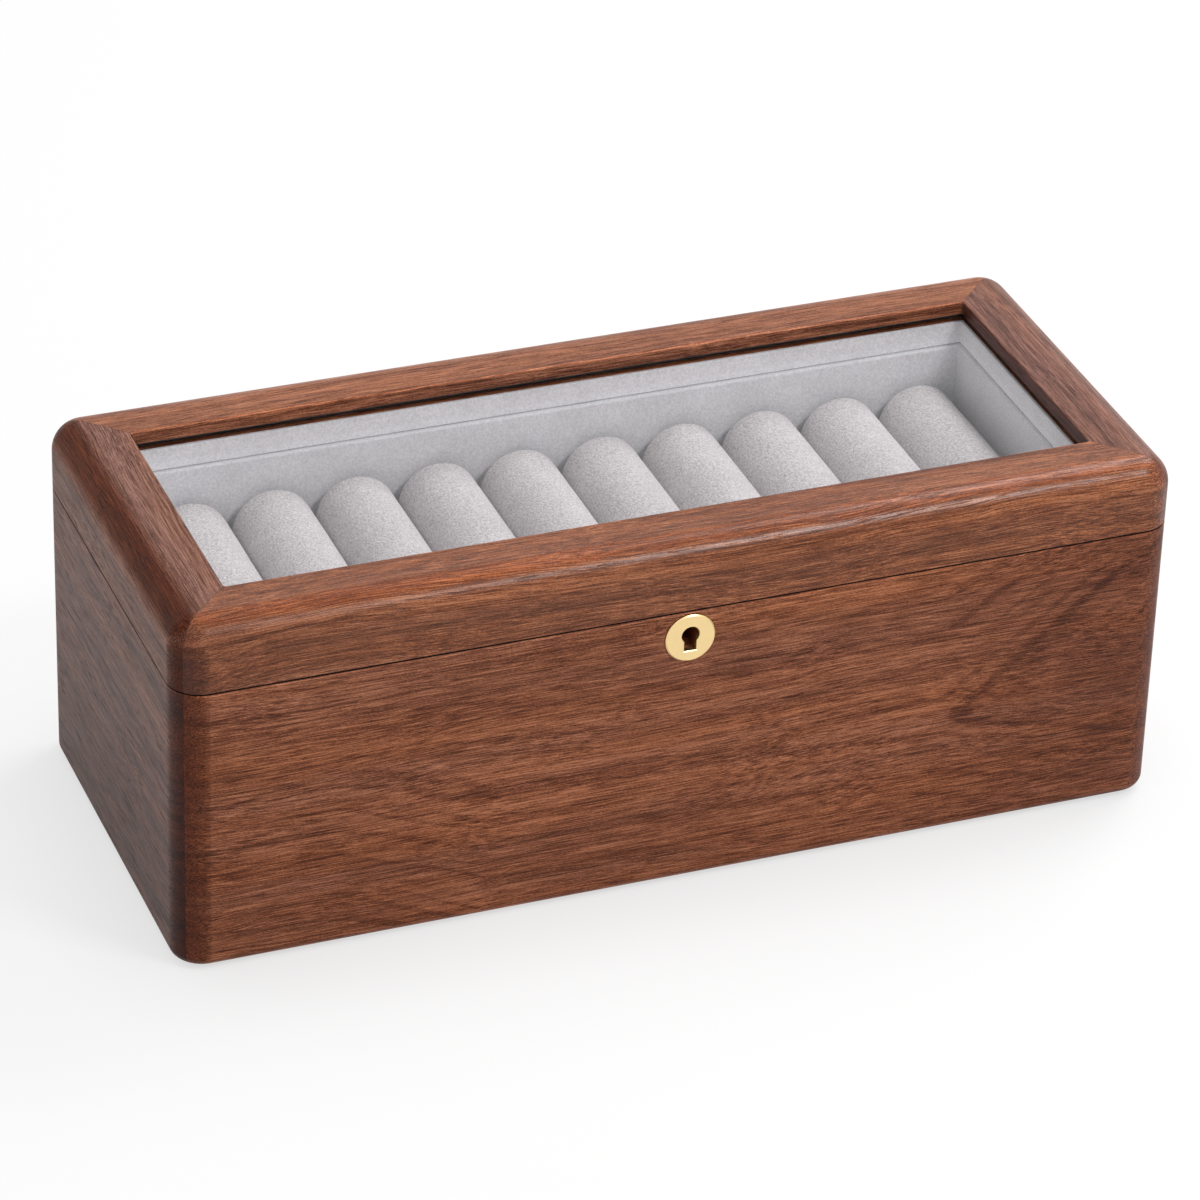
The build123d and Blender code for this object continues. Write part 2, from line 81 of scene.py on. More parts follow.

# Wood tones, each as its dark figure, its middle tone and its light fibres. The tones of the left and right
# boards and rails are darker, greyer copies of the walnut: painted shade and painted sheen on those sides.
FRONT_TONE = ((0.080, 0.019, 0.0075), (0.275, 0.089, 0.041), (0.580, 0.227, 0.116))
RAIL_TONE = ((0.085, 0.020, 0.0060), (0.268, 0.081, 0.031), (0.590, 0.228, 0.108))
RIGHT_BOARD_SHADED_TONE = ((0.070, 0.024, 0.0150), (0.215, 0.086, 0.058), (0.430, 0.200, 0.140))
LEFT_BOARD_SHADED_TONE = ((0.046, 0.015, 0.0095), (0.155, 0.060, 0.040), (0.340, 0.150, 0.105))
LEFT_RAIL_SHADED_TONE = ((0.066, 0.020, 0.0095), (0.210, 0.090, 0.062), (0.440, 0.220, 0.155))
RIGHT_RAIL_SHADED_TONE = ((0.062, 0.021, 0.0130), (0.185, 0.074, 0.050), (0.380, 0.175, 0.125))
BACK_TONE = ((0.082, 0.022, 0.0090), (0.275, 0.096, 0.048), (0.570, 0.235, 0.128))


def put(tree, kind, inputs=(), **settings):
    """Add a shader node with its settings, and give each input a value or a link."""
    node = tree.nodes.new(kind)
    for key, value in settings.items():
        setattr(node, key, value)
    for key, value in dict(inputs).items():
        if isinstance(value, bpy.types.NodeSocket):
            tree.links.new(value, node.inputs[key])
        else:
            node.inputs[key].default_value = value
    return node


def maths(tree, operation, first, second=0.0, third=0.0):
    """The result of one Math node."""
    return put(tree, "ShaderNodeMath", {0: first, 1: second, 2: third}, operation=operation).outputs[0]


def remap(tree, value, low, high, to_low=0.0, to_high=1.0):
    """The value moved from one range to another, held at both ends."""
    inputs = {"Value": value, "From Min": low, "From Max": high, "To Min": to_low, "To Max": to_high}
    return put(tree, "ShaderNodeMapRange", inputs).outputs[0]


def speckle(tree, place, scale, detail=2.0, roughness=0.5, distortion=0.0):
    """A noise whose scale may differ along X, Y and Z, in features per metre."""
    stretched = put(tree, "ShaderNodeVectorMath", {0: place, 1: scale}, operation="MULTIPLY").outputs[0]
    inputs = {"Vector": stretched, "Scale": 1.0, "Detail": detail, "Roughness": roughness,
              "Distortion": distortion}
    return put(tree, "ShaderNodeTexNoise", inputs).outputs["Fac"]


def line_noise(tree, value, scale, detail=2.0):
    """A noise along one number."""
    stretched = maths(tree, "MULTIPLY", value, scale)
    inputs = {"W": stretched, "Scale": 1.0, "Detail": detail, "Roughness": 0.5}
    return put(tree, "ShaderNodeTexNoise", inputs, noise_dimensions="1D").outputs["Fac"]


def ramp(tree, value, stops):
    """A colour ramp through (position, colour) stops."""
    node = put(tree, "ShaderNodeValToRGB", {"Fac": value})
    points = node.color_ramp.elements
    while len(points) < len(stops):
        points.new(0.5)
    for point, (position, colour) in zip(points, stops):
        point.position = position
        point.color = (*colour, 1.0)
    return node.outputs["Color"]


def tint(tree, colour, factor):
    """A colour times a number."""
    return put(tree, "ShaderNodeVectorMath", {0: colour, 3: factor}, operation="SCALE").outputs[0]


def start_material(name):
    """An empty material and its node tree."""
    material = bpy.data.materials.new(name)
    material.use_nodes = True
    material.node_tree.nodes.clear()
    return material, material.node_tree


def close_material(tree, shader):
    """Send a shader to the material's output."""
    output = tree.nodes.new("ShaderNodeOutputMaterial")
    tree.links.new(shader, output.inputs["Surface"])


def paint(material, *names):
    """Give CAD nodes a material."""
    for name in names:
        nodes[name].data.materials.clear()
        nodes[name].data.materials.append(material)


# Wood

# Size of each figure in the wood, in features per metre along and across the grain
DRIFT_SCALE = (6.0, 22.0, 22.0)
CLOUD_SCALE = (7.0, 40.0, 40.0)
STREAK_SCALE = (9.0, 420.0, 420.0)
FIBRE_SCALE = (60.0, 3000.0, 3000.0)
GRIT_SCALE = (1200.0, 3200.0, 3200.0)
PORE_SCALE = (75.0, 3000.0, 3000.0)
HUE_SCALE = (5.0, 75.0, 75.0)
BAND_SCALE = 110.0
LINE_SCALE = 270.0
BOARD_STEP = (0.37, 0.213, 0.119)

# How much each figure lightens or darkens the wood
CLOUD_WEIGHT = 0.38
BAND_WEIGHT = 0.35
STREAK_WEIGHT = 0.50
FIBRE_WEIGHT = 2.20
GRIT_WEIGHT = 0.70
TONE_LIFT = 0.03
LINE_DEPTH = 0.20
PORE_DEPTH = 0.22
PORE_ROUGHNESS = 0.16
UNTINTED = (1.0, 1.0, 1.0)

WARM_HUE = (1.05, 1.00, 0.90)
COOL_HUE = (0.95, 0.98, 1.06)
END_GRAIN = (0.66, 0.50, 0.42)

# Where the rims of body and lid meet, with painted shade in the gap and a painted highlight on the arris
# below it, and the mitres of the corners
PARTING = 109.1 * MM
SEAM_DEPTH = 1.2 * MM
GAP_SHADE_LINE = (0.30 * MM, 0.50 * MM)
ARRIS_HIGHLIGHT_DROP = 0.72 * MM
ARRIS_HIGHLIGHT_LINE = (0.20 * MM, 0.45 * MM)
CORNER_RADIUS = 11.5 * MM
CORNER_CENTRE = (cad_high.x - CORNER_RADIUS, cad_high.y - CORNER_RADIUS, 1.0)
MITRE_OFFSET = cad_high.x - cad_high.y
MITRE_LINE = 0.10 * MM

# The front board's flame and the dip of its grain at the lower left, and the lean of plain rings
FLAME_TIP = (95 * MM, 47 * MM)
FLAME_LEAN = 0.10
FLAME_SPREAD = 0.36
FLAME_BLUNT = 3 * MM
FLAME_LINE = (3.6 * MM, 0.5 * MM, 1.3 * MM)
DIP_RUN = (-125 * MM, -72 * MM)
DIP_FADE = (95 * MM, 45 * MM)
DIP_DROP = 20 * MM
RING_LEAN = 0.55

# Painted light and shade for the faces that look a given way: direction, where it starts and is full, and its
# colour
# Front rail: painted shade that makes its upper round darker and more orange and its top a little darker.
PAINTED_SHADE_FRONT_RAIL = (
    ((0.0, -0.34, 0.94), 0.93, 0.985, (1.06, 0.86, 0.64)),
    ((0.0, 0.0, 1.0), 0.985, 0.999, (0.90, 0.90, 0.90)),
)
# Left rail: painted shade on the round of its outer shoulder.
PAINTED_SHADE_LEFT_SHOULDER = (((-0.64, 0.0, 0.77), 0.80, 0.95, (0.56, 0.28, 0.12)),)
# Left board and rail: painted shade on the faces turned towards the front-left corner.
PAINTED_SHADE_LEFT_CORNER = (((-0.87, -0.49, 0.0), 0.90, 0.98, (0.60, 0.45, 0.36)),)
# Front board and rail: painted shade where the front face turns into the rounded front-left corner.
PAINTED_SHADE_FRONT_CORNER = (((-0.42, -0.9075, 0.0), 0.912, 0.965, (0.60, 0.50, 0.42)),)
# Right rail: painted shade on its inner face, which looks away from the key lamp.
PAINTED_SHADE_INNER_FACE = (((-1.0, 0.0, 0.0), 0.70, 0.95, (0.50, 0.42, 0.42)),)
# Back rail: a painted highlight on its inner arris and the faces that look up and forward.
PAINTED_HIGHLIGHT_INNER_EDGE = (((0.0, -0.707, 0.707), 0.85, 0.97, (1.70, 1.60, 1.50)),)

# Colour ramps along a board: axis, where it starts and is full, and its colour there. Towards the left
# board's foot the ramp is painted shade; the front board just gets darker towards its right end.
PAINTED_SHADE_FOOT = ("Z", 95 * MM, 8 * MM, (0.54, 0.43, 0.39))
DARK_END = ("X", 80 * MM, 155 * MM, (0.66, 0.60, 0.58))


def gather(tree, noises):
    """Noises added up by weight about one half."""
    total = 0.5 - 0.5 * sum(weight for value, weight in noises)
    for value, weight in noises:
        total = maths(tree, "MULTIPLY_ADD", value, weight, total)
    return total


def flame_figure(tree, place):
    """Distance to the growth rings of a flat-sawn board: a flame at the right, a dip at the left."""
    own = put(tree, "ShaderNodeSeparateXYZ", {0: place})
    x, z = own.outputs["X"], own.outputs["Z"]
    dip = maths(tree, "MULTIPLY", remap(tree, x, *DIP_RUN), remap(tree, z, *DIP_FADE))
    height = maths(tree, "MULTIPLY_ADD", dip, DIP_DROP, z)
    past_tip = maths(tree, "MAXIMUM", maths(tree, "SUBTRACT", x, FLAME_TIP[0]), 0.0)
    spine = maths(tree, "MULTIPLY_ADD", past_tip, FLAME_LEAN, FLAME_TIP[1] + DIP_DROP)
    off_spine = maths(tree, "SUBTRACT", height, spine)
    rounded = maths(tree, "SQRT", maths(tree, "MULTIPLY_ADD", off_spine, off_spine, FLAME_BLUNT ** 2))
    return maths(tree, "MULTIPLY_ADD", past_tip, -FLAME_SPREAD, rounded)


def plain_figure(tree, place):
    """Distance to the growth rings of a plain board, which lean a little."""
    own = put(tree, "ShaderNodeSeparateXYZ", {0: place})
    return maths(tree, "MULTIPLY_ADD", own.outputs["Y"], RING_LEAN, own.outputs["Z"])


def growth_lines(tree, across, clouds, has_flame):
    """Thin dark lines between the growth rings, and the outline of the flame where there is one."""
    lines = remap(tree, line_noise(tree, across, LINE_SCALE, 1.0), 0.36, 0.47, 1.0, 0.0)
    if has_flame:
        centre, core, edge = FLAME_LINE
        offset = maths(tree, "ABSOLUTE", maths(tree, "SUBTRACT", across, centre))
        lines = maths(tree, "MAXIMUM", lines, remap(tree, offset, core, edge, 1.0, 0.0))
    return maths(tree, "MULTIPLY", lines, remap(tree, clouds, 0.40, 0.60, 0.25, 1.0))


def wood_colour(tree, warped, across, tone, has_flame):
    """Colour of the wood's growth rings, streaks and fibres, with the open pores and the fibres."""
    dark, middle, light = tone
    clouds = speckle(tree, warped, CLOUD_SCALE, 2.0, 0.5)
    bands = line_noise(tree, across, BAND_SCALE, 1.0)
    streaks = speckle(tree, warped, STREAK_SCALE, 2.0, 0.55)
    fibres = speckle(tree, warped, FIBRE_SCALE, 3.0, 0.72)
    grit = speckle(tree, warped, GRIT_SCALE, 1.0, 0.5)
    pores = remap(tree, speckle(tree, warped, PORE_SCALE, 1.0, 0.5), 0.58, 0.65)
    value = gather(tree, (
        (clouds, CLOUD_WEIGHT), (bands, BAND_WEIGHT), (streaks, STREAK_WEIGHT), (fibres, FIBRE_WEIGHT),
        (grit, GRIT_WEIGHT)))
    value = maths(tree, "ADD", value, TONE_LIFT)
    lines = growth_lines(tree, across, clouds, has_flame)
    value = maths(tree, "MULTIPLY_ADD", lines, -LINE_DEPTH, value)
    value = maths(tree, "MULTIPLY_ADD", pores, -PORE_DEPTH, value)
    colour = ramp(tree, value, ((0.12, dark), (0.50, middle), (0.88, light)))
    hue = ramp(tree, speckle(tree, warped, HUE_SCALE, 2.0, 0.5), ((0.35, COOL_HUE), (0.65, WARM_HUE)))
    return stain(tree, colour, hue), pores, fibres


def stain(tree, colour, factor):
    """One colour times another."""
    return put(tree, "ShaderNodeVectorMath", {0: colour, 1: factor}, operation="MULTIPLY").outputs[0]


def toward(tree, normal, direction):
    """How much a face looks in a direction."""
    inputs = {0: normal, 1: direction}
    return put(tree, "ShaderNodeVectorMath", inputs, operation="DOT_PRODUCT").outputs["Value"]


def paint_light_by_facing(tree, colour, normal, facings):
    """Paint light and shade onto the faces that look a given way, as a tint of their colour."""
    for direction, start, full, factor in facings:
        share = remap(tree, toward(tree, normal, direction), start, full)
        colour = stain(tree, colour, ramp(tree, share, ((0.0, UNTINTED), (1.0, factor))))
    return colour


def end_grain(tree, colour, normal, along):
    """Cut across the fibres, as on a rounded corner, the wood is darker and redder."""
    axis = (1.0, 0.0, 0.0) if along == "X" else (0.0, 1.0, 0.0)
    cut = maths(tree, "ABSOLUTE", toward(tree, normal, axis))
    return stain(tree, colour, ramp(tree, cut, ((0.15, UNTINTED), (0.75, END_GRAIN))))


def mitre_shade(tree, own):
    """The glue line of the mitre is a thin dark line."""
    along_x = maths(tree, "ABSOLUTE", own.outputs["X"])
    along_y = maths(tree, "ABSOLUTE", own.outputs["Y"])
    run = maths(tree, "SUBTRACT", along_x, along_y)
    gap = maths(tree, "ABSOLUTE", maths(tree, "SUBTRACT", run, MITRE_OFFSET))
    return remap(tree, gap, 0.5 * MITRE_LINE, 1.5 * MITRE_LINE, 0.45, 1.0)


def rim_shade(tree, own, place):
    """Painted shade makes a dark line where the rims meet, and a painted highlight makes the body's rim a
    little lighter below it.
    """
    above = maths(tree, "SUBTRACT", own.outputs["Z"], PARTING)
    gap_shade = remap(tree, maths(tree, "ABSOLUTE", above), *GAP_SHADE_LINE, 0.15, 1.0)
    below = maths(tree, "ABSOLUTE", maths(tree, "ADD", above, ARRIS_HIGHLIGHT_DROP))
    # A painted highlight on the body's rounded arris below the gap
    worn = remap(tree, below, *ARRIS_HIGHLIGHT_LINE, 1.35, 1.0)
    line = maths(tree, "SUBTRACT", maths(tree, "MULTIPLY", gap_shade, worn), 1.0)
    return maths(tree, "MULTIPLY_ADD", line, near_outside(tree, place), 1.0)


def near_outside(tree, place):
    """One close to the box's upright outer faces, and zero further in."""
    out = put(tree, "ShaderNodeVectorMath", {0: place}, operation="ABSOLUTE").outputs[0]
    out = put(tree, "ShaderNodeVectorMath", {0: out, 1: CORNER_CENTRE}, operation="SUBTRACT").outputs[0]
    out = put(tree, "ShaderNodeVectorMath", {0: out, 1: (0.0, 0.0, 0.0)}, operation="MAXIMUM").outputs[0]
    out = put(tree, "ShaderNodeVectorMath", {0: out}, operation="LENGTH").outputs["Value"]
    return maths(tree, "GREATER_THAN", out, CORNER_RADIUS - SEAM_DEPTH)


def walnut(name, along, tone, seed, wander=0.016, figure=None, facings=(), drift_to=None, polish=0.42,
           shine=0.16):
    """Satin walnut whose grain runs along X or Y, with growth rings, streaks, fibres and open pores."""
    material, tree = start_material(name)
    coordinates = tree.nodes.new("ShaderNodeTexCoord")
    object_place = coordinates.outputs["Object"]
    normal = coordinates.outputs["Normal"]
    own = put(tree, "ShaderNodeSeparateXYZ", {0: object_place})
    turn = 0.0 if along == "X" else -pi / 2
    shift = [seed * step for step in BOARD_STEP]
    mapping = {"Vector": object_place, "Location": shift, "Rotation": (0.0, 0.0, turn)}
    place = put(tree, "ShaderNodeMapping", mapping).outputs[0]

    drift = speckle(tree, place, DRIFT_SCALE, 2.0, 0.45)
    drift = maths(tree, "MULTIPLY", maths(tree, "SUBTRACT", drift, 0.5), wander)
    flow = put(tree, "ShaderNodeCombineXYZ", {"Y": drift, "Z": drift}).outputs[0]
    warped = put(tree, "ShaderNodeVectorMath", {0: place, 1: flow}, operation="ADD").outputs[0]
    if figure:
        across = maths(tree, "ADD", figure(tree, object_place), drift)
    else:
        across = plain_figure(tree, warped)
    colour, pores, fibres = wood_colour(tree, warped, across, tone, figure is not None)

    # A ramp along one axis: painted shade towards the left board's foot, a plain darkening towards the front
    # board's right end.
    if drift_to:
        drift_axis, start, full, factor = drift_to
        share = remap(tree, own.outputs[drift_axis], start, full)
        colour = stain(tree, colour, ramp(tree, share, ((0.0, UNTINTED), (1.0, factor))))
    # Painted light and shade on the faces that look given ways
    colour = paint_light_by_facing(tree, colour, normal, facings)
    colour = end_grain(tree, colour, normal, along)
    # The mitre's dark glue line, with the painted shade and painted highlight at the rims
    shade = maths(tree, "MULTIPLY", mitre_shade(tree, own), rim_shade(tree, own, object_place))
    colour = tint(tree, colour, shade)

    relief = maths(tree, "MULTIPLY_ADD", pores, -1.0, maths(tree, "MULTIPLY", fibres, 0.5))
    bump = put(tree, "ShaderNodeBump", {"Height": relief, "Strength": 0.5, "Distance": 0.12 * MM}).outputs[0]
    roughness = remap(tree, pores, 0.0, 1.0, polish, polish + PORE_ROUGHNESS)
    surface = put(tree, "ShaderNodeBsdfPrincipled", {
        "Base Color": colour, "Roughness": roughness, "Normal": bump, "Specular IOR Level": shine})
    close_material(tree, surface.outputs[0])
    return material


def paint_wood():
    """Each board has its own grain."""
    paint(walnut("walnut_front_board", "X", FRONT_TONE, 1.0, figure=flame_figure, facings=PAINTED_SHADE_FRONT_CORNER,
                 drift_to=DARK_END), "front_wall")
    paint(walnut("walnut_back_board", "X", FRONT_TONE, 2.0, wander=0.030), "back_wall")
    # The side boards and rails take the darker, greyer tones: painted shade and painted sheen.
    paint(walnut("walnut_left_board", "Y", LEFT_BOARD_SHADED_TONE, 3.0, wander=0.010, facings=PAINTED_SHADE_LEFT_CORNER,
                 drift_to=PAINTED_SHADE_FOOT), "left_wall")
    paint(walnut("walnut_right_board", "Y", RIGHT_BOARD_SHADED_TONE, 4.0, wander=0.012), "right_wall")
    paint(walnut("walnut_front_rail", "X", RAIL_TONE, 5.0, facings=PAINTED_SHADE_FRONT_RAIL + PAINTED_SHADE_FRONT_CORNER,
                 polish=0.24, shine=0.26), "lid_front_rail")
    paint(walnut("walnut_back_rail", "X", BACK_TONE, 6.0, wander=0.010, facings=PAINTED_HIGHLIGHT_INNER_EDGE,
                 polish=0.36), "lid_back_rail")
    paint(walnut("walnut_left_rail", "Y", LEFT_RAIL_SHADED_TONE, 7.0, wander=0.010,
                 facings=PAINTED_SHADE_LEFT_SHOULDER + PAINTED_SHADE_LEFT_CORNER, polish=0.40, shine=0.10), "lid_left_rail")
    paint(walnut("walnut_right_rail", "Y", RIGHT_RAIL_SHADED_TONE, 8.0, wander=0.012, facings=PAINTED_SHADE_INNER_FACE,
                 polish=0.36), "lid_right_rail")
    paint(walnut("walnut_long_bead", "X", RAIL_TONE, 9.0), "glazing_bead_front", "glazing_bead_back")
    paint(walnut("walnut_short_bead", "Y", RAIL_TONE, 10.0), "glazing_bead_left", "glazing_bead_right")


# Suede, felt, board

def suede(name, colour, seed, contrast=0.30, nap=900.0, depth=0.35):
    """Soft suede: a short nap that lies this way and that in small patches."""
    material, tree = start_material(name)
    coordinates = tree.nodes.new("ShaderNodeTexCoord")
    shift = (0.31 * seed, 0.17 * seed, 0.23 * seed)
    mapping = {"Vector": coordinates.outputs["Object"], "Location": shift}
    place = put(tree, "ShaderNodeMapping", mapping).outputs[0]
    swirl = put(tree, "ShaderNodeTexNoise", {"Vector": place, "Scale": nap * 0.35, "Detail": 1.0})
    pushed = tint(tree, swirl.outputs["Color"], 1.6 / nap)
    lying = put(tree, "ShaderNodeVectorMath", {0: place, 1: pushed}, operation="ADD").outputs[0]
    fine = speckle(tree, lying, (nap, nap, nap), 3.0, 0.62)
    patches = speckle(tree, place, (70.0, 70.0, 70.0), 2.0, 0.5)
    value = maths(tree, "MULTIPLY_ADD", remap(tree, fine, 0.30, 0.70), contrast, 1.0 - contrast * 0.55)
    value = maths(tree, "MULTIPLY", value, remap(tree, patches, 0.3, 0.7, 0.96, 1.04))
    shown = tint(tree, colour, value)
    bump = put(tree, "ShaderNodeBump", {"Height": fine, "Strength": depth, "Distance": 0.5 * MM}).outputs[0]
    surface = put(tree, "ShaderNodeBsdfPrincipled", {
        "Base Color": shown, "Roughness": 0.92, "Normal": bump, "Specular IOR Level": 0.2,
        "Sheen Weight": 0.22, "Sheen Roughness": 0.45, "Sheen Tint": (1.0, 1.0, 1.0, 1.0)})
    close_material(tree, surface.outputs[0])
    return material


def plain_board(name):
    """Pale plywood with a faint grain."""
    material, tree = start_material(name)
    place = tree.nodes.new("ShaderNodeTexCoord").outputs["Object"]
    grain = speckle(tree, place, (12.0, 500.0, 500.0), 3.0, 0.6)
    colour = ramp(tree, grain, ((0.3, (0.36, 0.24, 0.13)), (0.7, (0.52, 0.38, 0.23))))
    surface = put(tree, "ShaderNodeBsdfPrincipled", {"Base Color": colour, "Roughness": 0.65})
    close_material(tree, surface.outputs[0])
    return material


def felt(name):
    """Dark felt with a matted surface."""
    material, tree = start_material(name)
    place = tree.nodes.new("ShaderNodeTexCoord").outputs["Object"]
    mat = speckle(tree, place, (1400.0, 1400.0, 1400.0), 4.0, 0.7, 1.5)
    colour = ramp(tree, mat, ((0.3, (0.020, 0.017, 0.016)), (0.7, (0.060, 0.052, 0.048))))
    bump = put(tree, "ShaderNodeBump", {"Height": mat, "Strength": 0.6, "Distance": 0.4 * MM}).outputs[0]
    surface = put(tree, "ShaderNodeBsdfPrincipled", {
        "Base Color": colour, "Roughness": 0.97, "Normal": bump, "Specular IOR Level": 0.1,
        "Sheen Weight": 0.3})
    close_material(tree, surface.outputs[0])
    return material


# Metal, rubber, glass

def metal(name, colour, roughness, brushed=0.0):
    """Metal with faint wear in its polish."""
    material, tree = start_material(name)
    place = tree.nodes.new("ShaderNodeTexCoord").outputs["Object"]
    wear = speckle(tree, place, (260.0, 260.0, 260.0), 3.0, 0.55)
    lines = speckle(tree, place, (60.0, 60.0, 5200.0), 2.0, 0.5)
    worn = remap(tree, wear, 0.3, 0.7, 0.75 * roughness, 1.25 * roughness)
    sheen = maths(tree, "MULTIPLY_ADD", lines, brushed, worn)
    shown = tint(tree, colour, remap(tree, wear, 0.3, 0.7, 0.95, 1.03))
    bump = put(tree, "ShaderNodeBump", {"Height": lines, "Strength": 0.06, "Distance": 0.05 * MM}).outputs[0]
    surface = put(tree, "ShaderNodeBsdfPrincipled", {
        "Base Color": shown, "Metallic": 1.0, "Roughness": sheen, "Normal": bump})
    close_material(tree, surface.outputs[0])
    return material


def rubber(name):
    """Black sealing strip."""
    material, tree = start_material(name)
    place = tree.nodes.new("ShaderNodeTexCoord").outputs["Object"]
    grain = speckle(tree, place, (900.0, 900.0, 900.0), 2.0, 0.5)
    colour = ramp(tree, grain, ((0.3, (0.006, 0.006, 0.006)), (0.7, (0.016, 0.016, 0.016))))
    surface = put(tree, "ShaderNodeBsdfPrincipled", {"Base Color": colour, "Roughness": 0.5})
    close_material(tree, surface.outputs[0])
    return material


def window_glass(name):
    """A clear pane with faint reflections and ground edges."""
    material, tree = start_material(name)
    clear = put(tree, "ShaderNodeBsdfTransparent", {"Color": (0.988, 0.984, 0.988, 1.0)})
    gloss = put(tree, "ShaderNodeBsdfGlossy", {"Color": (1.0, 1.0, 1.0, 1.0), "Roughness": 0.02})
    grazing = put(tree, "ShaderNodeLayerWeight", {"Blend": 0.5}).outputs["Facing"]
    mirror = maths(tree, "MULTIPLY_ADD", maths(tree, "POWER", grazing, 5.0), 0.6, 0.012)
    pane = put(tree, "ShaderNodeMixShader", {0: mirror, 1: clear.outputs[0], 2: gloss.outputs[0]})
    normal = put(tree, "ShaderNodeSeparateXYZ", {0: tree.nodes.new("ShaderNodeTexCoord").outputs["Normal"]})
    is_edge = maths(tree, "LESS_THAN", maths(tree, "ABSOLUTE", normal.outputs["Z"]), 0.5)
    ground = put(tree, "ShaderNodeBsdfPrincipled", {"Base Color": (0.42, 0.50, 0.47, 1.0), "Roughness": 0.6})
    both = put(tree, "ShaderNodeMixShader", {0: is_edge, 1: pane.outputs[0], 2: ground.outputs[0]})
    close_material(tree, both.outputs[0])
    return material


def paint_hardware():
    """Metal, seals, glass and the parts under the box."""
    paint(metal("polished_brass", (0.93, 0.70, 0.35), 0.38), "escutcheon")
    brass = metal("machined_brass", (0.72, 0.50, 0.22), 0.30, brushed=0.12)
    steel = metal("drawn_steel", (0.50, 0.50, 0.51), 0.32, brushed=0.10)
    for name in nodes:
        if name.startswith(("hinge_body", "hinge_lid", "lock_", "link_plate")):
            paint(brass, name)
    paint(steel, "hinge_pin_left", "hinge_pin_right", "bolt_spring")
    paint(rubber("seal_rubber"), "glass_seal_upper", "glass_seal_lower")
    paint(window_glass("window_glass"), "glass")
    paint(plain_board("base_plywood"), "base_panel")
    paint(felt("base_felt"), "base_felt")


# Pads

PAD_ARC_STEPS = 20
PAD_SIDE_STEPS = 16
PAD_LENGTH_STEPS = 14
PAD_RIM = 1.5 * MM
PAD_RIM_STEPS = 4
PAD_CAP_RINGS = 4
PAD_SLACK = 0.35 * MM
PAD_PRESSURE = 4.0
PAD_SWELL = 0.40 * MM
PAD_FRAMES = 20
PAD_UNEVENNESS = 0.10 * MM
UNEVEN_SCALE = 55
UNEVEN_STEP = Vector((7.3, 3.1, 0))


def pad_half(low, high):
    """Front half of a pad: an end cap in rings, and the skin drawn back to the middle."""
    radius = (high.x - low.x) / 2
    spring_z = high.z - radius
    side_step = (spring_z - low.z) / PAD_SIDE_STEPS
    middle_x = (low.x + high.x) / 2
    bm = bmesh.new()
    corner = bm.verts.new((low.x, low.y, spring_z))
    bmesh.ops.spin(bm, geom=[corner], cent=(middle_x, low.y, spring_z), axis=(0, 1, 0), angle=pi,
                   steps=PAD_ARC_STEPS)
    bm.verts.ensure_lookup_table()
    feet = [min(bm.verts, key=lambda v: v.co.x), max(bm.verts, key=lambda v: v.co.x)]
    for step in range(PAD_SIDE_STEPS):
        feet = bmesh.ops.extrude_vert_indiv(bm, verts=feet)["verts"]
        bmesh.ops.translate(bm, verts=feet, vec=(0, 0, -side_step))
    bmesh.ops.contextual_create(bm, geom=feet)
    bmesh.ops.edgeloop_fill(bm, edges=bm.edges[:])
    rim = bm.edges[:]
    cap = bm.faces[:]
    for ring in range(PAD_CAP_RINGS):
        bmesh.ops.inset_region(bm, faces=cap, thickness=radius / (PAD_CAP_RINGS + 1), use_even_offset=True)
    length_step = (high.y - low.y) / 2 / PAD_LENGTH_STEPS
    front = rim
    for step in range(PAD_LENGTH_STEPS):
        grown = bmesh.ops.extrude_edge_only(bm, edges=front)["geom"]
        bmesh.ops.translate(bm, verts=[g for g in grown if isinstance(g, bmesh.types.BMVert)],
                            vec=(0, length_step, 0))
        front = [g for g in grown if isinstance(g, bmesh.types.BMEdge)
                 and all(abs(v.co.y - low.y - (step + 1) * length_step) < 1e-6 for v in g.verts)]
    bmesh.ops.bevel(bm, geom=rim, offset=PAD_RIM, segments=PAD_RIM_STEPS, affect="EDGES", profile=0.5,
                    material=-1)
    return bm


def swell(mesh):
    """Where each point goes when the cover is blown up a little, as a foam core fills it."""
    piece = bpy.data.objects.new("swelling_cover", mesh)
    bpy.context.scene.collection.objects.link(piece)
    foot = piece.vertex_groups.new(name="foot")
    foot_z = min(v.co.z for v in mesh.vertices)
    foot.add([v.index for v in mesh.vertices if v.co.z < foot_z + MM], 1.0, "REPLACE")
    cloth = piece.modifiers.new("swelling", "CLOTH")
    cloth.settings.use_pressure = True
    cloth.settings.uniform_pressure_force = PAD_PRESSURE
    cloth.settings.effector_weights.gravity = 0.0
    cloth.settings.vertex_group_mass = foot.name
    cloth.collision_settings.use_collision = False
    for step in range(1, PAD_FRAMES + 1):
        bpy.context.scene.frame_set(step)
    posed = piece.evaluated_get(bpy.context.evaluated_depsgraph_get()).to_mesh()
    moves = [after.co - before.co for after, before in zip(posed.vertices, mesh.vertices)]
    piece.evaluated_get(bpy.context.evaluated_depsgraph_get()).to_mesh_clear()
    bpy.context.scene.frame_set(1)
    bpy.data.objects.remove(piece)
    return [move.normalized() * min(move.length, PAD_SWELL) for move in moves]


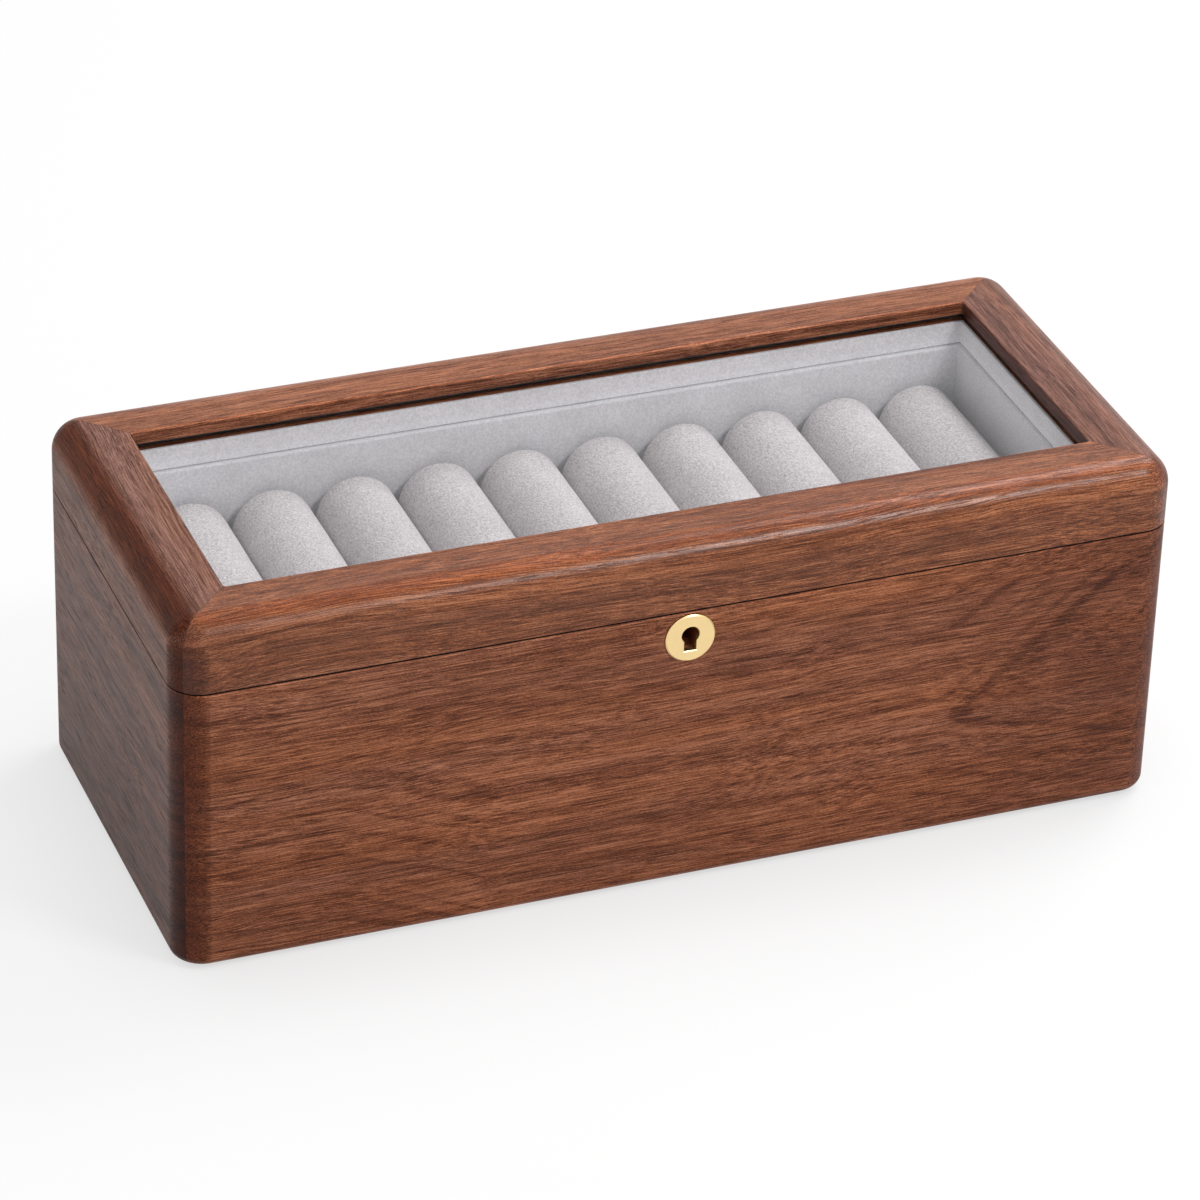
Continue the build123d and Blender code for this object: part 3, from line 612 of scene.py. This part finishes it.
def plain_cover(low, high):
    """The whole cover before it is filled, a little smaller than the pad."""
    slack = Vector((PAD_SLACK, PAD_SLACK, PAD_SLACK))
    bottom = Vector((low.x, low.y, low.z - PAD_SLACK))
    bm = pad_half(bottom + slack, high - slack)
    middle_y = (low.y + high.y) / 2
    bmesh.ops.mirror(bm, geom=bm.verts[:] + bm.edges[:] + bm.faces[:], axis="Y", merge_dist=1e-5,
                     matrix=Matrix.Translation((0, -middle_y, 0)))
    bmesh.ops.remove_doubles(bm, verts=bm.verts, dist=1e-6)
    bmesh.ops.recalc_face_normals(bm, faces=bm.faces)
    mesh = bpy.data.meshes.new("cover")
    bm.to_mesh(mesh)
    bm.free()
    return mesh


def make_pad(name, cover, moves, shift, material, seed):
    """A foam pad with a suede cover in place of its plain solid."""
    mesh = cover.copy()
    mesh.name = f"suede_{name}"
    for vert, move in zip(mesh.vertices, moves):
        uneven = noise.noise(vert.co * UNEVEN_SCALE + UNEVEN_STEP * seed)
        vert.co += move * (1.0 + uneven * PAD_UNEVENNESS / PAD_SWELL) + shift
    mesh.polygons.foreach_set("use_smooth", [True] * len(mesh.polygons))
    piece = bpy.data.objects.new(f"suede_{name}", mesh)
    bpy.context.scene.collection.objects.link(piece)
    rounding = piece.modifiers.new("rounding", "SUBSURF")
    rounding.levels = rounding.render_levels = 1
    mesh.materials.append(material)
    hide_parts(name)
    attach(piece, "box")


def dress_inside():
    """Suede linings and pads."""
    body_lining = suede("body_lining_cloth", (0.81, 0.815, 0.835), 1.0, contrast=0.30, nap=1300.0, depth=0.40)
    # The lid's lining is a lighter copy of the body's suede: painted light on the upper band.
    lid_lining = suede("lid_lining_cloth", (0.93, 0.935, 0.955), 3.0, contrast=0.28, nap=1300.0, depth=0.40)
    for name in nodes:
        if name.startswith(("body_liner", "pad_board")):
            paint(body_lining, name)
        elif name.startswith("lid_liner"):
            paint(lid_lining, name)
    cover = suede("pad_cover", (0.71, 0.68, 0.685), 2.0, contrast=0.70, nap=1350.0, depth=1.0)
    pad_names = [name for name in sorted(nodes) if name.startswith("pad_") and name != "pad_board"]
    first_low, first_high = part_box(pad_names[0])
    plain = plain_cover(first_low, first_high)
    moves = swell(plain)
    for index, name in enumerate(pad_names):
        make_pad(name, plain, moves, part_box(name)[0] - first_low, cover, index + 1)


# Studio

def make_floor():
    """A pale floor that shows white to the camera and in reflections, with the box's soft shadow, partly real
    and partly a painted contact shadow in its glow.
    """
    bm = bmesh.new()
    bmesh.ops.create_grid(bm, x_segments=1, y_segments=1, size=FLOOR_SIZE / 2)
    mesh = bpy.data.meshes.new("floor")
    bm.to_mesh(mesh)
    bm.free()
    floor = bpy.data.objects.new("floor", mesh)
    floor.location.z = cad_low.z - FLOOR_GAP
    bpy.context.scene.collection.objects.link(floor)
    material, tree = start_material("floor")
    rays = tree.nodes.new("ShaderNodeLightPath")
    seen = maths(tree, "MAXIMUM", rays.outputs["Is Camera Ray"], rays.outputs["Is Glossy Ray"])
    seen = maths(tree, "MAXIMUM", seen, rays.outputs["Is Transmission Ray"])
    share = remap(tree, seen, 0.0, 1.0, 1.0, FLOOR_SEEN_SHARE)
    matt = put(tree, "ShaderNodeBsdfDiffuse", {"Color": tint(tree, FLOOR_COLOUR, share)})
    # Near the box the glow is dimmed by ambient occlusion: a painted contact shadow.
    openness = put(tree, "ShaderNodeAmbientOcclusion", {"Distance": CONTACT_REACH}, samples=8).outputs["AO"]
    level = remap(tree, openness, 0.0, 1.0, FLOOR_LIFT * (1.0 - CONTACT_DEPTH), FLOOR_LIFT)
    lift = put(tree, "ShaderNodeEmission", {"Strength": maths(tree, "MULTIPLY", seen, level)})
    both = put(tree, "ShaderNodeAddShader", {0: matt.outputs[0], 1: lift.outputs[0]})
    close_material(tree, both.outputs[0])
    mesh.materials.append(material)


def make_sky():
    """Even soft light from all round, white where it is seen."""
    world = bpy.data.worlds.new("studio")
    world.use_nodes = True
    tree = world.node_tree
    tree.nodes.clear()
    rays = tree.nodes.new("ShaderNodeLightPath")
    seen = maths(tree, "MAXIMUM", rays.outputs["Is Camera Ray"], rays.outputs["Is Glossy Ray"])
    seen = maths(tree, "MAXIMUM", seen, rays.outputs["Is Transmission Ray"])
    strength = remap(tree, seen, 0.0, 1.0, SKY_STRENGTH, 1.0)
    shade = put(tree, "ShaderNodeBackground", {"Color": (1.0, 1.0, 1.0, 1.0), "Strength": strength})
    output = tree.nodes.new("ShaderNodeOutputWorld")
    tree.links.new(shade.outputs[0], output.inputs["Surface"])
    bpy.context.scene.world = world


def add_softbox(name, place, aim, size, power):
    """A rectangular area lamp that points at a place."""
    lamp = bpy.data.lights.new(name, "AREA")
    lamp.shape = "RECTANGLE"
    lamp.size, lamp.size_y = size
    lamp.energy = power
    holder = bpy.data.objects.new(name, lamp)
    holder.location = place
    holder.rotation_euler = (Vector(aim) - Vector(place)).to_track_quat("-Z", "Y").to_euler()
    bpy.context.scene.collection.objects.link(holder)


def place_camera():
    """Stand the camera at the photograph's viewpoint."""
    turn, tilt, roll = radians(CAMERA_AZIMUTH), radians(CAMERA_ELEVATION), radians(CAMERA_ROLL)
    back = Vector((sin(turn) * cos(tilt), -cos(turn) * cos(tilt), sin(tilt)))
    level = Vector((0, 0, 1)).cross(back).normalized()
    rise = back.cross(level)
    right = level * cos(roll) + rise * sin(roll)
    up = rise * cos(roll) - level * sin(roll)
    spot = back * CAMERA_DISTANCE + up * CAMERA_RISE
    camera = bpy.data.cameras.new("camera")
    camera.sensor_width = SENSOR_MM
    camera.lens = FOCAL_PIXELS * SENSOR_MM / FRAME_PIXELS
    camera.clip_end = 50.0
    holder = bpy.data.objects.new("camera", camera)
    holder.matrix_world = Matrix((
        (right.x, up.x, back.x, spot.x),
        (right.y, up.y, back.y, spot.y),
        (right.z, up.z, back.z, spot.z),
        (0.0, 0.0, 0.0, 1.0),
    ))
    bpy.context.scene.collection.objects.link(holder)
    bpy.context.scene.camera = holder


place_camera()
make_floor()
make_sky()
add_softbox("key_softbox", place=(0.95, 0.45, 1.35), aim=(0.0, 0.0, 0.10), size=(0.8, 0.8), power=14.0)
add_softbox("front_softbox", place=(0.74, -1.02, 1.6), aim=(0.10, 0.0, 0.12), size=(0.50, 0.24), power=11.5)
paint_wood()
paint_hardware()
dress_inside()
bpy.context.scene.view_settings.view_transform = "Standard"
